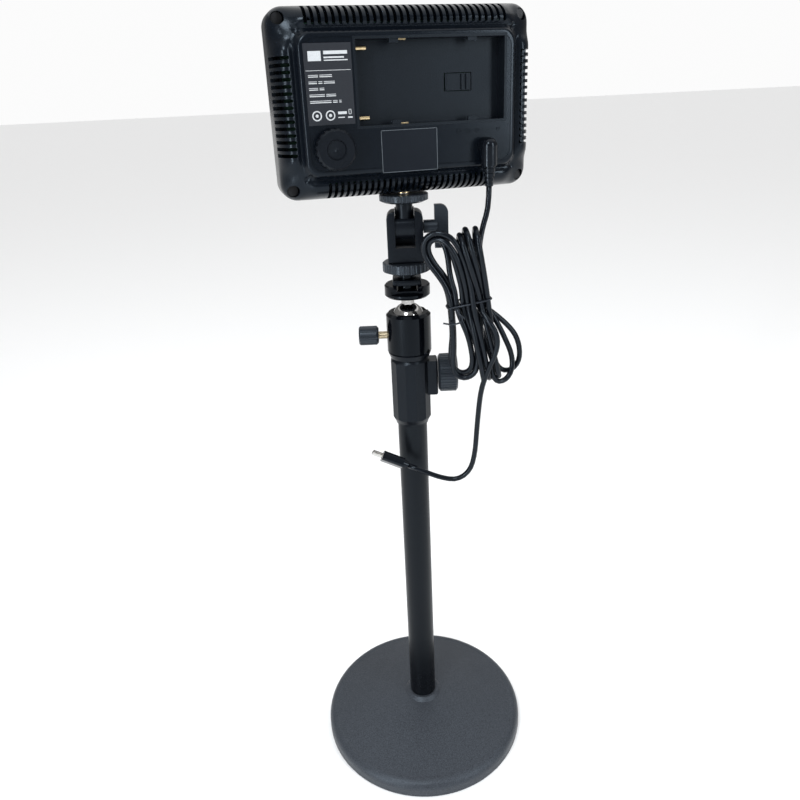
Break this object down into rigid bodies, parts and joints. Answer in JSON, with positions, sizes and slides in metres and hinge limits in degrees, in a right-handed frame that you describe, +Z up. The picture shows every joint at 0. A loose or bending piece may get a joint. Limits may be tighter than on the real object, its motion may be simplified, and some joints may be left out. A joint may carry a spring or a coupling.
{
  "type": "led panel light on a weighted table stand",
  "caption": "Rectangular LED panel light on a telescoping table stand with a weighted round base, ball head and tilting shoe bracket; power cord tied in a hank.",
  "frame": {"origin": "on the stand's axis, at the underside of the base where it stands on the table", "axes": "+Z up along the pole; +X along the panel's width, to the right as seen from behind the panel; +Y the way the diffuser faces. The stand's own clamp and tilt axes are turned 16.2 degrees about Z from X."},
  "size_m": [0.147, 0.145, 0.4922],
  "materials": {
    "powder_coat_iron": "satin, fine texture",
    "foam": "matte",
    "zinc_steel": "satin",
    "black_tube": "satin",
    "anodised": "anodised black, semi-gloss",
    "hard_black": "gloss",
    "grip_black": "satin",
    "chrome": "polished",
    "brass": "satin",
    "gold": "polished",
    "nylon": "matte",
    "shell_black": "semi-gloss",
    "bay_black": "matte",
    "diffuser": "milky",
    "circuit": "satin",
    "led_yellow": "gloss",
    "label_dark": "matte",
    "label_black": "satin",
    "pvc_black": "gloss",
    "tie_black": "satin",
    "nickel": "satin"
  },
  "bodies": {
    "stand": {"weighted_base": "powder_coat_iron", "base_pad": "foam", "base_washer": "zinc_steel", "pole_bolt": "zinc_steel", "pole_plug": "zinc_steel", "outer_pole": "black_tube", "clamp_sleeve": "hard_black"},
    "clamp": {"clamp_knob": "grip_black", "clamp_screw": "zinc_steel", "clamp_pad": "nylon"},
    "mast": {"inner_mast": "black_tube", "mast_cap": "hard_black", "mast_stud": "zinc_steel", "ball_housing": "anodised"},
    "ball_lock": {"ball_lock_knob": "grip_black", "ball_lock_screw": "brass"},
    "seat": {"ball_seat": "nylon"},
    "bracket": {"ball_stud": "chrome", "shoe_disc": "anodised", "shoe_foot": "anodised", "tilt_yoke": "hard_black", "tilt_bolt": "zinc_steel", "cord_lead": "pvc_black", "cord_hank": "pvc_black", "cord_tail": "pvc_black", "twist_tie": "tie_black", "usb_plug": "pvc_black", "usb_shell": "nickel"},
    "shoe_ring": {"shoe_lock_ring": "grip_black"},
    "wing": {"wing_knob": "grip_black"},
    "head": {"tilt_neck": "hard_black", "mount_stud": "zinc_steel", "tripod_insert": "gold", "rear_shell": "shell_black", "shell_screws": "zinc_steel", "front_bezel": "shell_black", "diffuser": "diffuser", "led_board": "circuit", "led_chips": "led_yellow", "battery_bay": "bay_black", "battery_contacts": "gold", "rail_springs": "gold", "rating_label": "label_dark", "blank_label": "label_black", "dimmer_pot": "hard_black", "control_board": "circuit", "dc_jack": "hard_black", "dc_plug": "pvc_black", "strain_relief": "pvc_black"},
    "upper_wheel": {"upper_lock_wheel": "grip_black"},
    "dimmer": {"dimmer_knob": "grip_black", "dimmer_spindle": "zinc_steel"},
    "latch": {"battery_latch": "bay_black"}
  },
  "joints": [
    {"name": "mast_slide", "type": "slide", "parent": "stand", "child": "mast", "axis": [0, 0, 1], "range_m": [0, 0.12]},
    {"name": "clamp_turn", "type": "hinge", "parent": "stand", "child": "clamp", "pos_m": [0, 0, 0.2843], "axis": [0.9603, -0.279, 0], "range_deg": [0, 270]},
    {"name": "ball_lock_turn", "type": "hinge", "parent": "mast", "child": "ball_lock", "pos_m": [0, 0, 0.3106], "axis": [-0.9603, 0.279, 0], "range_deg": [0, 270]},
    {"name": "ball_pan", "type": "hinge", "parent": "mast", "child": "seat", "pos_m": [0, 0, 0.321], "axis": [0, 0, 1], "continuous": true},
    {"name": "ball_tilt", "type": "hinge", "parent": "seat", "child": "bracket", "pos_m": [0, 0, 0.321], "axis": [0.279, 0.9603, 0], "range_deg": [-35, 35]},
    {"name": "shoe_ring_turn", "type": "hinge", "parent": "bracket", "child": "shoe_ring", "pos_m": [0, 0, 0.3535], "axis": [0, 0, 1], "range_deg": [0, 200]},
    {"name": "head_tilt", "type": "hinge", "parent": "bracket", "child": "head", "pos_m": [0, 0, 0.3763], "axis": [0.9603, -0.279, 0], "range_deg": [-90, 60], "deforming": ["cord_lead"]},
    {"name": "wing_turn", "type": "hinge", "parent": "bracket", "child": "wing", "pos_m": [0, 0, 0.3763], "axis": [0.9603, -0.279, 0], "range_deg": [0, 300]},
    {"name": "upper_wheel_turn", "type": "hinge", "parent": "head", "child": "upper_wheel", "pos_m": [0, 0, 0.3934], "axis": [0, 0, 1], "range_deg": [0, 200]},
    {"name": "dimmer_turn", "type": "hinge", "parent": "head", "child": "dimmer", "pos_m": [-0.0414, -0.02, 0.4231], "axis": [0, -1, 0], "range_deg": [0, 300]},
    {"name": "latch_press", "type": "hinge", "parent": "head", "child": "latch", "pos_m": [0.0244, -0.0073, 0.4535], "axis": [0, 0, 1], "range_deg": [0, 8], "stiffness_Nm_per_rad": 0.02}
  ]
}
